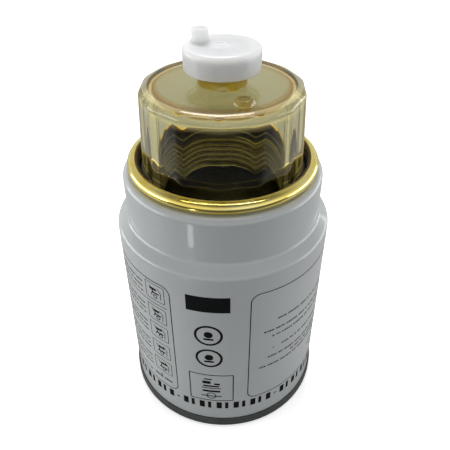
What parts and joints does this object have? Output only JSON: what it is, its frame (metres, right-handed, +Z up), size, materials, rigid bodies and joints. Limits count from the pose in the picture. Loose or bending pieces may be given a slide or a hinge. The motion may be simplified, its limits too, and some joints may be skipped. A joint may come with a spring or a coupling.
{
  "type": "fuel water separator",
  "caption": "Spin-on fuel filter and water separator: painted can, threaded head with gasket, yellow zinc collar, clear faceted bowl and a screw-open drain cap with a hose nipple.",
  "frame": {"origin": "centre of the head gasket's sealing face, which is the lowest point, with the filter standing on its mounting end", "axes": "+Z up the filter's axis from the mounting end to the drain; -Y faces the viewer of the reference picture; the drain nipple is at -X +Y"},
  "size_m": [0.1098, 0.1098, 0.204],
  "materials": {
    "can_paint": "gloss light grey-white enamel on deep-drawn steel",
    "seam_coat": "satin dark grey coat on thin sheet",
    "seal_rubber": "moulded nitrile, matte",
    "plate_steel": "thick pressed steel, phosphate grey",
    "cap_steel": "pressed sheet, dark coat",
    "plastisol": "cured potting",
    "pleat_paper": "resin-treated filter paper",
    "tube_steel": "tinned perforated sheet",
    "screen_cloth": "fine coated mesh",
    "spring_steel": "blued spring steel",
    "yellow_zinc": "yellow passivated zinc plate",
    "amber_plastic": "clear amber polymer, polished",
    "milky_nylon": "natural nylon, slightly translucent"
  },
  "bodies": {
    "can": {"can": "can_paint", "seaming_lid": "seam_coat", "head_gasket": "seal_rubber", "tapping_plate": "plate_steel", "centre_seal": "seal_rubber", "head_end_cap": "cap_steel", "head_potting": "plastisol", "filter_paper": "pleat_paper", "pleat_clip": "tube_steel", "centre_tube": "tube_steel", "separator_screen": "screen_cloth", "bowl_potting": "plastisol", "bowl_end_cap": "cap_steel", "element_spring": "spring_steel", "threaded_collar": "yellow_zinc"},
    "bowl_gasket": {"bowl_gasket": "seal_rubber"},
    "bowl": {"bowl": "amber_plastic", "neck_seal": "seal_rubber"},
    "drain_seal": {"drain_seal": "seal_rubber"},
    "drain_cap": {"drain_cap": "milky_nylon"}
  },
  "joints": [
    {"name": "bowl_lift", "type": "slide", "parent": "can", "child": "bowl_gasket", "axis": [0, 0, 1], "range_m": [0, 0.01486]},
    {"name": "bowl_turn", "type": "hinge", "parent": "bowl_gasket", "child": "bowl", "pos_m": [0, 0, 0.143], "axis": [0, 0, 1], "range_deg": [0, 1620]},
    {"name": "drain_lift", "type": "slide", "parent": "bowl", "child": "drain_seal", "axis": [0, 0, 1], "range_m": [0, 0.00301]},
    {"name": "drain_turn", "type": "hinge", "parent": "drain_seal", "child": "drain_cap", "pos_m": [0, 0, 0.188], "axis": [0, 0, 1], "range_deg": [0, 300]}
  ],
  "couplings": [
    {"joint": "bowl_lift", "follows": "bowl_turn", "m_per_rad": 0.00052521},
    {"joint": "drain_lift", "follows": "drain_turn", "m_per_rad": 0.00057296}
  ]
}
